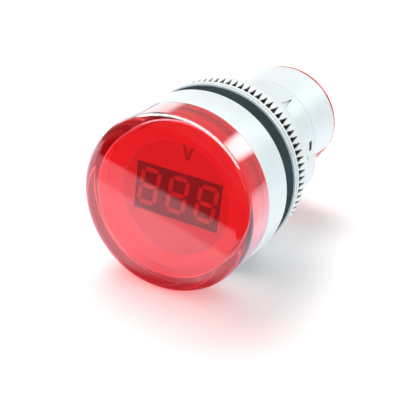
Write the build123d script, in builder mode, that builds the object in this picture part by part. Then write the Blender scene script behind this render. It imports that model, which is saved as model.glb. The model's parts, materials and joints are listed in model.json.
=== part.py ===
from build123d import *
from math import cos, radians, sin, sqrt, tan
import os

os.makedirs("parts", exist_ok=True)

# Round digital voltmeter for a 22 mm panel hole, in millimetres.
# The origin is the centre of the bezel's rear face, which seats on the panel.
# +Y runs from the lens back along the barrel, +X is to the right seen from the
# front, and +Z is up when the digits read level.

# Head, in front of the panel
head_height = 13.8          # lens front to panel seat
bezel_height = 6.7          # white part of the head
bezel_radius = 14.5         # at the panel seat
bezel_draft = 0.19          # the front of the bezel is this much smaller in radius
bezel_wall = 1.15
bezel_edge = 0.35           # rounding of the bezel's outer edges
recess_depth = 3.0          # the lens plugs this far into the bezel
lens_step = 0.05            # lens's rear edge inside the bezel's front edge
lens_draft = 0.06           # the front of the lens is this much smaller in radius
lens_rim = 2.0              # rounding of the lens's front rim
lens_wall = 2.0
lens_front_thickness = 2.8
lens_inner_rounding = 0.5
plug_clearance = 0.05       # round plugs and spigots, on the radius
end_clearance = 0.1         # at the blind end of a plug or a pocket

# Face ring behind the lens
ledge_depth = 5.1           # lens front to the raised ring's face
ledge_clearance = 0.2       # ring to the lens's bore
ledge_width = 2.76          # raised ring round the recessed disc
well_depth = 1.0
face_floor = 1.0
skirt_wall = 1.1
window_clearance = 0.06     # display to its window, each side
post_radius = 0.6           # posts that hold the display board down
post_inset = 0.94           # posts' centres inside the disc's edge
post_angle = 60             # degrees from +X, one post in each quarter

# Display and its board
display_width = 14.5
display_height = 7.9
display_depth = 6.0
display_wall = 0.4
display_front_wall = 0.9
digit_count = 3
digit_gap = 1.45            # from one digit to the next
digit_side_margin = 0.55    # display's side to the first digit
digit_end_margin = 0.8      # of the display's height, above and below the digits
digit_lift = 0.2            # the digits sit this far above the display's middle
digit_slant = 6.0           # degrees
stroke = 0.75               # width of one bar of a digit
stroke_gap = 0.12           # bar's tip to the corner that it points at
pin = 0.5                   # pins and wire leads are square wire
pin_tail = 0.8              # past the board that they are soldered in
pin_hole_radius = 0.42
display_pin_columns = 6
pin_side_margin = 0.6       # display's side to its first pin
pin_end_margin = 0.85       # display's upper and lower sides to the rows of pins
display_board_thickness = 1.2
display_board_step = 0.5    # width of the step that the board rests on
display_board_clearance = 0.1

# Barrel
thread_radius = 10.95       # crests of the M22 x 1.5 thread
thread_spare = 1.0          # thread that shows behind the nut
thread_run_out = 0.85       # axial length of the step down to the plain barrel
thread_step = 0.83          # the nut passes over all that lies behind the thread
barrel_length = 23.5
barrel_wall = 0.92          # of the plain barrel
window_width = 1.7          # latch windows through the plain barrel
window_length = 1.2
window_margin = 1.4         # windows to the barrel's rear end
window_angle = 7.6          # degrees from +X towards +Z
arrow_angle = 58.6          # engraved mark that shows which way is up
arrow_margin = 1.7          # arrow's tip to the barrel's rear end
arrow_length = 3.9
arrow_width = 1.2
arrow_depth = 0.25

# Gasket, washer and lock nut
gasket_thickness = 3.6
gasket_step = 0.15          # gasket's edge inside the washer's
gasket_bore_clearance = 0.3
gasket_edge = 0.4
stack_gap = 0.05            # between loose flat faces
washer_thickness = 0.7
washer_step = 0.07          # washer's edge inside the nut's flange
washer_bore_clearance = 0.3
nut_bore_clearance = 0.05   # running fit on the thread
flange_step = 0.08          # nut's flange inside the bezel's edge
nut_length = 8.8            # front face to rear face
nut_flange = 0.65           # smooth rim in front of the teeth
tooth_step = 0.02           # teeth inside the flange's edge
tooth_draft = 0.2           # the teeth's rear ends are this much smaller in radius
nut_tooth_length = 2.9
nut_tooth_depth = 1.1       # just behind the flange; the notch runs out to nothing
nut_tooth_count = 66
nut_notch_share = 0.8       # of the pitch, taken by a notch's mouth
nut_taper = 1.7             # teeth's rear ends to the nut's rear edge
nut_bulge = 0.35            # how far the rear taper stands out of a straight one
nut_edge = 0.3
lug_wall = 2.05             # bore to the lug's outside
lug_width = 7.0
lug_length = 3.5
lug_root = 2.0              # the lug starts this far inside the nut's body
lug_angle = 3.0             # degrees from +X towards +Z
lug_rounding = 0.5
lug_edge = 0.2

# Rear shell and its wrap
shell_length = 11.2         # barrel's end to the rear face
shell_wall = 1.1
shell_rear_wall = 1.2
shell_edge = 0.4
spigot_length = 6.0
spigot_wall = 1.0
barb_height = 0.6
barb_clearance = 0.2        # barb to the edges of its window
tongue_slot = 0.5           # slots beside the latch tongues
tongue_root = 0.8           # the slots stop this far from the shell's shoulder
wrap_thickness = 0.12
wrap_front_gap = 0.1
wrap_rear_margin = 0.8      # the band of bare shell behind the wrap
wrap_edge_front = -1.28     # height of the wrap's lower edges at their front
wrap_edge_rear = -2.34      # and at their rear

# Terminal bay under the rear of the shell
bay_roof_clearance = 0.2    # strips to the bay's roof at its front
bay_roof_rise = 1.6         # the roof slopes up this much to the rear
bay_wall = 1.2
pocket_clearance = 0.2      # round the screws' ends
pocket_wall = 0.85          # pocket to the shell's outside
pocket_floor = 1.2          # in front of the pockets
pocket_margin = 0.1         # the pockets start this far behind the barrel
barrier = 1.2               # rib between the two terminals
terminal_x = 3.9
strip_width = 4.6
strip_height = 4.5
strip_thickness = 0.8
strip_corner = 1.2
tab_width = 2.0
tab_clearance = 0.15
tab_above_board = 1.0
clamp_thickness = 0.8
clamp_corner = 0.7
clamp_clearance = 0.2       # plain hole of the clamp plate
screw_radius = 1.5
screw_length = 4.0
screw_head_radius = 2.2
screw_head_height = 1.9
screw_head_edge = 0.5
screw_slot = 0.7
screw_slot_depth = 0.9
screw_cross = 3.0           # length of the short arm of the driver recess
screw_clearance = 0.05      # running fit in the strip's thread

# Main board and what stands on it
board_side_gap = 0.45       # board's edge to the spigot's bore
board_front_gap = 1.3       # display board to the main board
board_overhang = 4.0        # the board reaches this far over the bay
board_thickness = 1.2
board_height = 0.0          # underside of the board
board_clearance = 0.05      # in the rails
rail_reach = 1.9            # rails, from the shell's bore inwards
rail_height = 1.0
header_pins_count = 5
header_pitch = 2.54
header_size = 2.5
header_gap = 0.8            # header to the display board
header_bend = 0.8           # header's rear face to the bent legs
capacitor_radius = 2.9
capacitor_length = 8.6
capacitor_gap = 2.0         # header's legs to the capacitor
capacitor_inset = 1.2       # board's edge to the capacitor
capacitor_lead_spacing = 2.5
capacitor_edge = 0.4
film_width = 4.2
film_length = 9.5
film_height = 4.8
film_gap = 0.9              # header's legs to the film capacitor
film_inset = 1.8            # board's edge to the film capacitor
film_lead_spacing = 7.5
film_edge = 0.5
bridge_width = 6.2
bridge_length = 5.0
bridge_height = 2.5
bridge_lead_spacing = 5.0
bridge_edge = 0.3
resistor_radius = 1.1
resistor_waist = 0.85
resistor_length = 5.0
resistor_cap = 1.3          # length of the thicker ends
resistor_inset = 1.0        # board's edge to a resistor
resistor_lead = 0.9         # straight lead beyond each end
trimmer_size = 4.6
trimmer_height = 2.6
trimmer_reach = 1.6         # the trimmer starts this far before the bay
trimmer_pin_spacing = 2.5
rotor_radius = 1.6
rotor_height = 0.5
rotor_slot = 0.5
rotor_clearance = 0.05
chip_width = 4.0
chip_end_margin = 0.3       # last leg to the chip's end
chip_height = 1.5
chip_gap = 1.0              # header's legs to the chip
chip_leg_count = 8          # on each side
chip_leg_pitch = 1.27
chip_leg_reach = 1.0
chip_leg = 0.42
chip_leg_thickness = 0.2
chip_stand_off = 0.15
small_part_length = 1.6
small_part_width = 0.8
small_part_height = 0.5
small_part_columns = 2
small_part_rows = 3
small_part_gap = 0.6
small_part_row_gap = 1.4

# Places worked out from the sizes above
lens_front = -head_height
lens_rear = -bezel_height
bezel_front_radius = bezel_radius - bezel_draft
lens_rear_radius = bezel_front_radius - lens_step
lens_radius = lens_rear_radius - lens_draft
lens_bore = lens_radius - lens_wall
lens_inside = lens_front + lens_front_thickness
recess_radius = bezel_front_radius - bezel_wall
recess_floor = lens_rear + recess_depth
plug_radius = recess_radius - plug_clearance
plug_end = recess_floor - end_clearance
ledge_face = lens_front + ledge_depth
well_face = ledge_face + well_depth
ring_radius = lens_bore - ledge_clearance
well_radius = ring_radius - ledge_width
post_circle = well_radius - post_inset
digit_gaps = digit_gap * (digit_count - 1)
digit_width = (display_width - 2 * digit_side_margin - digit_gaps) / digit_count
digit_height = display_height - 2 * digit_end_margin
display_pin_pitch = (display_width - 2 * pin_side_margin) / (display_pin_columns - 1)
display_pin_rows_apart = display_height - 2 * pin_end_margin
display_rear = well_face + display_depth
display_board_rear = display_rear + display_board_thickness
plain_radius = thread_radius - thread_step
barrel_bore = plain_radius - barrel_wall
pocket_radius = barrel_bore + display_board_step
display_board_radius = pocket_radius - display_board_clearance
washer_front = gasket_thickness + stack_gap
nut_front = washer_front + washer_thickness + stack_gap
nut_rear = nut_front + nut_length
thread_length = nut_rear + thread_spare
notch_start = nut_front + nut_flange
notch_end = notch_start + nut_tooth_length
nut_bore = thread_radius + nut_bore_clearance
nut_flange_radius = bezel_radius - flange_step
nut_tooth_radius = nut_flange_radius - tooth_step
nut_tooth_end_radius = nut_tooth_radius - tooth_draft
nut_rear_radius = nut_tooth_end_radius - nut_taper
lug_radius = nut_bore + lug_wall
washer_radius = nut_flange_radius - washer_step
gasket_radius = washer_radius - gasket_step
window_start = barrel_length - window_margin - window_length
arrow_start = barrel_length - arrow_margin - arrow_length
total_depth = barrel_length + shell_length
shell_radius = plain_radius - wrap_thickness
shell_bore = shell_radius - shell_wall
shell_inside = total_depth - shell_rear_wall
spigot_radius = barrel_bore - plug_clearance
spigot_bore = spigot_radius - spigot_wall
spigot_front = barrel_length - spigot_length
board_top = board_height + board_thickness
header_front = display_board_rear + header_gap
header_z = board_height - header_size / 2
header_leg_y = header_front + header_size + header_bend
tongue_length = spigot_length - tongue_root
screw_stack = strip_thickness + clamp_thickness + 2 * stack_gap
pocket_depth = screw_length + end_clearance - screw_stack
bay_start = barrel_length + pocket_margin + pocket_depth
bay_pad = pocket_depth + pocket_floor
clamp_front = bay_start + strip_thickness + stack_gap
screw_seat = bay_start + screw_stack
strip_middle = bay_start + strip_thickness / 2
terminal_circle = shell_radius - pocket_wall - pocket_clearance - screw_radius
terminal_z = -sqrt(terminal_circle**2 - terminal_x**2)
strip_top = terminal_z + strip_height / 2
tab_top = board_top + tab_above_board
bay_roof_front = strip_top + bay_roof_clearance
bay_roof_rear = bay_roof_front + bay_roof_rise
board_width = 2 * (spigot_bore - board_side_gap)
board_front = display_board_rear + board_front_gap
board_rear = bay_start + board_overhang
board_middle = (board_front + board_rear) / 2
capacitor_front = header_leg_y + capacitor_gap
capacitor_x = board_width / 2 - capacitor_inset - capacitor_radius
film_front = header_leg_y + film_gap
film_rear = film_front + film_length
film_x = film_inset + film_width / 2 - board_width / 2
trimmer_front = bay_start - trimmer_reach
chip_length = (chip_leg_count - 1) * chip_leg_pitch + chip_leg + 2 * chip_end_margin
chip_front = header_leg_y + chip_gap


def across(y):
    """Plane square to the barrel at y, as seen from the front. A negative
    extrusion from it runs towards the rear."""
    return Plane.XZ.offset(-y)


def turned(count, angle=0.0):
    """Places evenly round the barrel, the first at an angle from +X towards +Z."""
    return [Location((0, 0, 0), (0, -angle - 360 * i / count, 0)) for i in range(count)]


def corner(sketch, r, y):
    """The corner of a profile that lies at radius r and depth y."""
    return sketch.vertices().sort_by_distance((r, y, 0))[0]


def finish(part, name):
    """Name a finished piece and write it."""
    part.label = name
    export_step(part, f"parts/{name}.step")


# Lens cap: a thick clear cup with a rounded rim, plugged into the bezel
with BuildPart() as lens_cap:
    with BuildSketch(Plane.XY) as lens_profile:
        with BuildLine():
            Polyline(
                (0, lens_front),
                (lens_radius, lens_front),
                (lens_rear_radius, lens_rear),
                (plug_radius, lens_rear),
                (plug_radius, plug_end),
                (lens_bore, plug_end),
                (lens_bore, lens_inside),
                (0, lens_inside),
                close=True,
            )
        make_face()
        fillet(corner(lens_profile, lens_radius, lens_front), lens_rim)
        fillet(corner(lens_profile, lens_bore, lens_inside), lens_inner_rounding)
    revolve(axis=Axis.Y)
finish(lens_cap.part, "lens_cap")

# Front housing: bezel and barrel in one moulding
arrow_plane = Plane(
    origin=(
        (plain_radius - arrow_depth) * cos(radians(arrow_angle)),
        arrow_start,
        (plain_radius - arrow_depth) * sin(radians(arrow_angle)),
    ),
    x_dir=(0, 1, 0),
    z_dir=(cos(radians(arrow_angle)), 0, sin(radians(arrow_angle))),
)
with BuildPart() as front_housing:
    with BuildSketch(Plane.XY) as housing_profile:
        with BuildLine():
            Polyline(
                (bezel_front_radius, lens_rear),
                (bezel_radius, 0),
                (thread_radius, 0),
                (thread_radius, thread_length),
                (plain_radius, thread_length + thread_run_out),
                (plain_radius, barrel_length),
                (barrel_bore, barrel_length),
                (barrel_bore, display_board_rear),
                (pocket_radius, display_board_rear),
                (pocket_radius, recess_floor),
                (recess_radius, recess_floor),
                (recess_radius, lens_rear),
                close=True,
            )
        make_face()
        fillet(corner(housing_profile, bezel_radius, 0), bezel_edge)
        fillet(corner(housing_profile, bezel_front_radius, lens_rear), bezel_edge)
    revolve(axis=Axis.Y)
    # two latch windows, opposite each other
    with Locations(Location((0, window_start, 0), (0, -window_angle, 0))):
        Box(
            2 * thread_radius,
            window_length,
            window_width,
            align=(Align.CENTER, Align.MIN, Align.CENTER),
            mode=Mode.SUBTRACT,
        )
    # engraved arrow that points to the rear
    with BuildSketch(arrow_plane):
        with BuildLine():
            Polyline(
                (0, -arrow_width / 2),
                (arrow_length, 0),
                (0, arrow_width / 2),
                close=True,
            )
        make_face()
    extrude(amount=arrow_depth + thread_step, mode=Mode.SUBTRACT)
finish(front_housing.part, "front_housing")

# Face ring: stepped insert round the display, on the recess floor
with BuildPart() as face_ring:
    with BuildSketch(Plane.XY):
        with BuildLine():
            Polyline(
                (0, well_face),
                (well_radius, well_face),
                (well_radius, ledge_face),
                (ring_radius, ledge_face),
                (ring_radius, recess_floor),
                (ring_radius - skirt_wall, recess_floor),
                (ring_radius - skirt_wall, well_face + face_floor),
                (0, well_face + face_floor),
                close=True,
            )
        make_face()
    revolve(axis=Axis.Y)
    with BuildSketch(across(well_face)):
        Rectangle(display_width + 2 * window_clearance, display_height + 2 * window_clearance)
    extrude(amount=-face_floor, mode=Mode.SUBTRACT)
    # posts down to the display board
    post_x = post_circle * cos(radians(post_angle))
    post_z = post_circle * sin(radians(post_angle))
    with BuildSketch(across(well_face + face_floor / 2)):
        with GridLocations(2 * post_x, 2 * post_z, 2, 2):
            Circle(post_radius)
    extrude(amount=-(display_depth - face_floor / 2))
finish(face_ring.part, "face_ring")


def digit_bars(middle):
    """Outlines of the seven bars of one slanted digit, as lists of points."""
    half_width = (digit_width - stroke) / 2
    half_height = (digit_height - stroke) / 2
    left = [Vector(-half_width, half_height * i) for i in (1, 0, -1)]
    right = [Vector(half_width, half_height * i) for i in (1, 0, -1)]
    ends = list(zip(left, right)) + list(zip(left, left[1:])) + list(zip(right, right[1:]))
    outlines = []
    for a, b in ends:
        along = (b - a).normalized()
        side = Vector(-along.Y, along.X) * (stroke / 2)
        tip_a = a + along * stroke_gap
        tip_b = b - along * stroke_gap
        shoulder = along * (stroke / 2)
        outline = [
            tip_a,
            tip_a + shoulder + side,
            tip_b - shoulder + side,
            tip_b,
            tip_b - shoulder - side,
            tip_a + shoulder - side,
        ]
        slant = tan(radians(digit_slant))
        outlines.append([(middle + p.X + p.Y * slant, p.Y + digit_lift) for p in outline])
    return outlines


digit_pitch = digit_width + digit_gap
digit_middles = [digit_pitch * (i - (digit_count - 1) / 2) for i in range(digit_count)]
all_bars = [bar for middle in digit_middles for bar in digit_bars(middle)]

# Display case: a box, open at the back, with a slot for each bar
with BuildPart() as display_case:
    with BuildSketch(across(well_face)):
        Rectangle(display_width, display_height)
    extrude(amount=-display_depth)
    with BuildSketch(across(well_face + display_front_wall)):
        Rectangle(display_width - 2 * display_wall, display_height - 2 * display_wall)
    extrude(amount=-display_depth, mode=Mode.SUBTRACT)
    with BuildSketch(across(well_face)):
        for bar in all_bars:
            Polygon(*bar, align=None)
    extrude(amount=-display_front_wall, mode=Mode.SUBTRACT)
finish(display_case.part, "display_case")

# Display filling: clear resin that shows as the bars of the digits
with BuildPart() as display_segments:
    with BuildSketch(across(well_face + display_front_wall)):
        Rectangle(display_width - 2 * display_wall, display_height - 2 * display_wall)
    extrude(amount=-(display_depth - display_front_wall))
    with BuildSketch(across(well_face)):
        for bar in all_bars:
            Polygon(*bar, align=None)
    extrude(amount=-display_front_wall)
finish(display_segments.part, "display_segments")

# Pins from the display through its board
with BuildPart() as display_pins:
    with BuildSketch(across(display_rear)):
        with GridLocations(
            display_pin_pitch, display_pin_rows_apart, display_pin_columns, 2
        ):
            Rectangle(pin, pin)
    extrude(amount=-(display_board_thickness + pin_tail))
finish(display_pins.part, "display_pins")

# Display board, a disc in the pocket of the barrel
with BuildPart() as display_board:
    with BuildSketch(across(display_rear)):
        Circle(display_board_radius)
        with GridLocations(
            display_pin_pitch, display_pin_rows_apart, display_pin_columns, 2
        ):
            Circle(pin_hole_radius, mode=Mode.SUBTRACT)
        with Locations((0, header_z)):
            with GridLocations(header_pitch, 0, header_pins_count, 1):
                Circle(pin_hole_radius, mode=Mode.SUBTRACT)
    extrude(amount=-display_board_thickness)
finish(display_board.part, "display_board")

# Right-angle header that joins the two boards
with BuildPart() as header_block:
    with BuildSketch(across(header_front)):
        with Locations((0, header_z)):
            Rectangle(header_pitch * header_pins_count, header_size)
            with GridLocations(header_pitch, 0, header_pins_count, 1):
                Rectangle(pin, pin, mode=Mode.SUBTRACT)
    extrude(amount=-header_size)
finish(header_block.part, "header_block")

with BuildPart() as header_pins:
    with BuildSketch(across(display_rear)):
        with Locations((0, header_z)):
            with GridLocations(header_pitch, 0, header_pins_count, 1):
                Rectangle(pin, pin)
    extrude(amount=-(header_leg_y + pin / 2 - display_rear))
    with BuildSketch(Plane.XY.offset(header_z - pin / 2)):
        with Locations((0, header_leg_y)):
            with GridLocations(header_pitch, 0, header_pins_count, 1):
                Rectangle(pin, pin)
    extrude(amount=board_top + pin_tail - header_z + pin / 2)
finish(header_pins.part, "header_pins")


# Electrolytic capacitor, lying along the main board
capacitor_z = board_top + capacitor_radius
capacitor_lead_y = capacitor_front + capacitor_length + pin
capacitor_leads = [(capacitor_x + s * capacitor_lead_spacing / 2, capacitor_lead_y) for s in (-1, 1)]
with BuildPart() as electrolytic_capacitor:
    with BuildSketch(across(capacitor_front)):
        with Locations((capacitor_x, capacitor_z)):
            Circle(capacitor_radius)
    extrude(amount=-capacitor_length)
    chamfer(electrolytic_capacitor.edges().filter_by(GeomType.CIRCLE), capacitor_edge)
    with BuildSketch(across(capacitor_front + capacitor_length)):
        with Locations((capacitor_x, capacitor_z)):
            with GridLocations(capacitor_lead_spacing, 0, 2, 1):
                Rectangle(pin, pin)
    extrude(amount=-1.5 * pin)
    with BuildSketch(Plane.XY.offset(board_height - pin_tail)):
        with Locations(*capacitor_leads):
            Rectangle(pin, pin)
    extrude(amount=pin_tail + board_thickness + capacitor_radius + pin / 2)
finish(electrolytic_capacitor.part, "electrolytic_capacitor")

# Film capacitor, a moulded block on two leads
film_middle = film_front + film_length / 2
film_leads = [(film_x, film_middle + s * film_lead_spacing / 2) for s in (-1, 1)]
with BuildPart() as film_capacitor:
    with BuildSketch(Plane.XY.offset(board_top)):
        with Locations((film_x, film_middle)):
            RectangleRounded(film_width, film_length, film_edge)
    extrude(amount=film_height)
    chamfer(film_capacitor.faces().sort_by(Axis.Z)[-1].edges(), film_edge / 2)
    with BuildSketch(Plane.XY.offset(board_height - pin_tail)):
        with Locations(*film_leads):
            Rectangle(pin, pin)
    extrude(amount=pin_tail + board_thickness)
finish(film_capacitor.part, "film_capacitor")

# Bridge rectifier with four legs, midway between the capacitor and the trimmer
bridge_middle = (capacitor_lead_y + trimmer_front) / 2
bridge_leads = [
    (s * bridge_lead_spacing / 2, bridge_middle + t * bridge_length / 4)
    for s in (-1, 1)
    for t in (-1, 1)
]
with BuildPart() as bridge_rectifier:
    with BuildSketch(Plane.XY.offset(board_top)):
        with Locations((0, bridge_middle)):
            Rectangle(bridge_width, bridge_length)
    extrude(amount=bridge_height)
    chamfer(bridge_rectifier.faces().sort_by(Axis.Z)[-1].edges(), bridge_edge)
    with BuildSketch(Plane.XY.offset(board_height - pin_tail)):
        with Locations(*bridge_leads):
            Rectangle(pin, pin)
    extrude(amount=pin_tail + board_thickness)
finish(bridge_rectifier.part, "bridge_rectifier")

# Two resistors midway between the film capacitor and the terminals, each with
# its leads bent into the board
resistor_z = board_top + resistor_radius
resistor_x = board_width / 2 - resistor_inset - resistor_radius
resistor_front = (film_rear + bay_start - resistor_length) / 2
resistor_rear = resistor_front + resistor_length
resistor_lead_ys = (resistor_front - resistor_lead, resistor_rear + resistor_lead)
resistor_leads = []
for side, resistor_name in ((-1, "resistor_left"), (1, "resistor_right")):
    axis_x = side * resistor_x
    own_leads = [(axis_x, y) for y in resistor_lead_ys]
    resistor_leads += own_leads
    resistor_axis = Axis((axis_x, 0, resistor_z), (0, 1, 0))
    with BuildPart() as resistor:
        with BuildSketch(Plane.XY.offset(resistor_z)) as resistor_profile:
            with BuildLine():
                Polyline(
                    (axis_x, resistor_front),
                    (axis_x + resistor_radius, resistor_front),
                    (axis_x + resistor_radius, resistor_front + resistor_cap),
                    (axis_x + resistor_waist, resistor_front + resistor_cap),
                    (axis_x + resistor_waist, resistor_rear - resistor_cap),
                    (axis_x + resistor_radius, resistor_rear - resistor_cap),
                    (axis_x + resistor_radius, resistor_rear),
                    (axis_x, resistor_rear),
                    close=True,
                )
            make_face()
        revolve(axis=resistor_axis)
        end_edges = resistor.edges().filter_by(GeomType.CIRCLE).group_by(Axis.Y)
        chamfer(end_edges[0] + end_edges[-1], resistor_waist / 2)
        with BuildSketch(across(resistor_lead_ys[0] - pin / 2)):
            with Locations((axis_x, resistor_z)):
                Rectangle(pin, pin)
        extrude(amount=-(resistor_length + 2 * resistor_lead + pin))
        with BuildSketch(Plane.XY.offset(board_height - pin_tail)):
            with Locations(*own_leads):
                Rectangle(pin, pin)
        extrude(amount=pin_tail + resistor_z - board_height + pin / 2)
    finish(resistor.part, resistor_name)

# Trimmer that sets the reading, with its rotor
trimmer_middle = trimmer_front + trimmer_size / 2
half_trimmer = trimmer_pin_spacing / 2
trimmer_leads = [
    (-half_trimmer, trimmer_middle - half_trimmer),
    (half_trimmer, trimmer_middle - half_trimmer),
    (0, trimmer_middle + half_trimmer),
]
with BuildPart() as trimmer:
    with BuildSketch(Plane.XY.offset(board_top)):
        with Locations((0, trimmer_middle)):
            Rectangle(trimmer_size, trimmer_size)
    extrude(amount=trimmer_height)
    with BuildSketch(Plane.XY.offset(board_top + trimmer_height - rotor_height)):
        with Locations((0, trimmer_middle)):
            Circle(rotor_radius + rotor_clearance)
    extrude(amount=rotor_height, mode=Mode.SUBTRACT)
    with BuildSketch(Plane.XY.offset(board_height - pin_tail)):
        with Locations(*trimmer_leads):
            Rectangle(pin, pin)
    extrude(amount=pin_tail + board_thickness)
finish(trimmer.part, "trimmer")

with BuildPart() as trimmer_rotor:
    with BuildSketch(Plane.XY.offset(board_top + trimmer_height - rotor_height)):
        with Locations((0, trimmer_middle)):
            Circle(rotor_radius)
    extrude(amount=rotor_height)
    with BuildSketch(Plane.XY.offset(board_top + trimmer_height - rotor_height / 2)):
        with Locations((0, trimmer_middle)):
            Rectangle(2 * rotor_radius, rotor_slot)
    extrude(amount=rotor_height, mode=Mode.SUBTRACT)
finish(trimmer_rotor.part, "trimmer_rotor")

# Controller chip under the board, with bent legs on both sides
chip_middle = chip_front + chip_length / 2
chip_top = board_height - chip_stand_off
with BuildPart() as controller_chip:
    with BuildSketch(Plane.XY.offset(chip_top)):
        with Locations((0, chip_middle)):
            Rectangle(chip_width, chip_length)
    extrude(amount=-chip_height)
    leg_middle = chip_top - chip_height / 2
    with BuildSketch(Plane.XY.offset(leg_middle)):
        with Locations((0, chip_middle)):
            with GridLocations(0, chip_leg_pitch, 1, chip_leg_count):
                Rectangle(chip_width + chip_leg_reach, chip_leg)
    extrude(amount=chip_leg_thickness / 2, both=True)
    with BuildSketch(Plane.XY.offset(leg_middle - chip_leg_thickness / 2)):
        with Locations((0, chip_middle)):
            with GridLocations(
                chip_width + chip_leg_reach - chip_leg_thickness,
                chip_leg_pitch,
                2,
                chip_leg_count,
            ):
                Rectangle(chip_leg_thickness, chip_leg)
    extrude(amount=board_height - leg_middle + chip_leg_thickness / 2)
    with BuildSketch(Plane.XY.offset(board_height - chip_leg_thickness)):
        with Locations((0, chip_middle)):
            with GridLocations(
                chip_width + 1.5 * chip_leg_reach, chip_leg_pitch, 2, chip_leg_count
            ):
                Rectangle(chip_leg_reach / 2 + 2 * chip_leg_thickness, chip_leg)
    extrude(amount=chip_leg_thickness)
finish(controller_chip.part, "controller_chip")

# Small surface-mounted parts under the board, midway between chip and terminals
small_part_middle = (chip_front + chip_length + bay_start) / 2
with BuildPart() as chip_resistors:
    with BuildSketch(Plane.XY.offset(board_height)):
        with Locations((0, small_part_middle)):
            with GridLocations(
                small_part_length + small_part_gap,
                small_part_width + small_part_row_gap,
                small_part_columns,
                small_part_rows,
            ):
                Rectangle(small_part_length, small_part_width)
    extrude(amount=-small_part_height)
finish(chip_resistors.part, "chip_resistors")

# Main board, from the header to the rails in the rear shell
with BuildPart() as main_board:
    with BuildSketch(Plane.XY.offset(board_height)):
        with Locations((0, board_middle)):
            Rectangle(board_width, board_rear - board_front)
        with Locations(
            *capacitor_leads, *film_leads, *bridge_leads, *resistor_leads, *trimmer_leads
        ):
            Circle(pin_hole_radius, mode=Mode.SUBTRACT)
        with Locations((0, header_leg_y)):
            with GridLocations(header_pitch, 0, header_pins_count, 1):
                Circle(pin_hole_radius, mode=Mode.SUBTRACT)
        with Locations((0, strip_middle)):
            with GridLocations(2 * terminal_x, 0, 2, 1):
                Rectangle(
                    tab_width + 2 * tab_clearance,
                    strip_thickness + 2 * tab_clearance,
                    mode=Mode.SUBTRACT,
                )
    extrude(amount=board_thickness)
finish(main_board.part, "main_board")

# Gasket between the panel and the washer
with BuildPart() as gasket:
    with BuildSketch(Plane.XY) as gasket_profile:
        with BuildLine():
            Polyline(
                (thread_radius + gasket_bore_clearance, 0),
                (gasket_radius, 0),
                (gasket_radius, gasket_thickness),
                (thread_radius + gasket_bore_clearance, gasket_thickness),
                close=True,
            )
        make_face()
        fillet(corner(gasket_profile, gasket_radius, 0), gasket_edge)
        fillet(corner(gasket_profile, gasket_radius, gasket_thickness), gasket_edge)
    revolve(axis=Axis.Y)
finish(gasket.part, "gasket")

# Clamp washer
with BuildPart() as clamp_washer:
    with BuildSketch(across(washer_front)):
        Circle(washer_radius)
        Circle(thread_radius + washer_bore_clearance, mode=Mode.SUBTRACT)
    extrude(amount=-washer_thickness)
finish(clamp_washer.part, "clamp_washer")

# Cutter for one notch of the lock nut: a V that climbs out of the nut's edge
notch_half_angle = 180 * nut_notch_share / nut_tooth_count
notch_half_width = nut_tooth_radius * tan(radians(notch_half_angle))
notch_rise = nut_tooth_depth / nut_tooth_length
with BuildPart() as notch_cutter:
    with BuildSketch(across(notch_start)):
        Polygon(
            (nut_tooth_radius - nut_tooth_depth, 0),
            (nut_tooth_radius + nut_tooth_depth, 2 * notch_half_width),
            (nut_tooth_radius + nut_tooth_depth, -2 * notch_half_width),
            align=None,
        )
    extrude(amount=nut_tooth_length + nut_flange, dir=(notch_rise, 1, 0))

# Lock nut: flange, ring of V notches, domed taper and two finger lugs
with BuildPart() as lock_nut:
    with BuildSketch(Plane.XY) as nut_profile:
        with BuildLine():
            Polyline(
                (nut_rear_radius, nut_rear),
                (nut_bore, nut_rear),
                (nut_bore, nut_front),
                (nut_flange_radius, nut_front),
                (nut_flange_radius, notch_start),
                (nut_tooth_radius, notch_start),
                (nut_tooth_end_radius, notch_end),
            )
            SagittaArc(
                (nut_tooth_end_radius, notch_end),
                (nut_rear_radius, nut_rear),
                -nut_bulge,
            )
        make_face()
        fillet(corner(nut_profile, nut_rear_radius, nut_rear), nut_edge)
    revolve(axis=Axis.Y)
    with Locations(*turned(nut_tooth_count)):
        add(notch_cutter.part, mode=Mode.SUBTRACT)
    with BuildSketch(across(nut_rear - lug_root)) as lug_sketch:
        Circle(lug_radius)
        Circle(nut_bore, mode=Mode.SUBTRACT)
        Rectangle(2 * nut_flange_radius, lug_width, rotation=lug_angle, mode=Mode.INTERSECT)
        outer_corners = lug_sketch.vertices().filter_by(
            lambda v: Vector(v).length > (lug_radius + nut_bore) / 2
        )
        fillet(outer_corners, lug_rounding)
    extrude(amount=-(lug_root + lug_length))
    lug_ends = lock_nut.faces().filter_by(Plane.XZ).sort_by(Axis.Y)[-2:]
    chamfer(lug_ends.edges(), lug_edge)
finish(lock_nut.part, "lock_nut")

# Space inside the rear shell, above the solid that surrounds the terminal bay
with BuildPart() as shell_cavity:
    with BuildSketch(Plane.XY):
        with BuildLine():
            Polyline(
                (0, spigot_front),
                (spigot_bore, spigot_front),
                (spigot_bore, barrel_length),
                (shell_bore, barrel_length + shell_bore - spigot_bore),
                (shell_bore, shell_inside),
                (0, shell_inside),
                close=True,
            )
        make_face()
    revolve(axis=Axis.Y)
    with BuildSketch(Plane.YZ):
        with BuildLine():
            Polyline(
                (bay_start - bay_pad, -shell_radius),
                (bay_start - bay_pad, bay_roof_front + bay_wall),
                (bay_start, bay_roof_front + bay_wall),
                (total_depth, bay_roof_rear + bay_wall),
                (total_depth, -shell_radius),
                close=True,
            )
        make_face()
    extrude(amount=shell_radius, both=True, mode=Mode.SUBTRACT)

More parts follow.
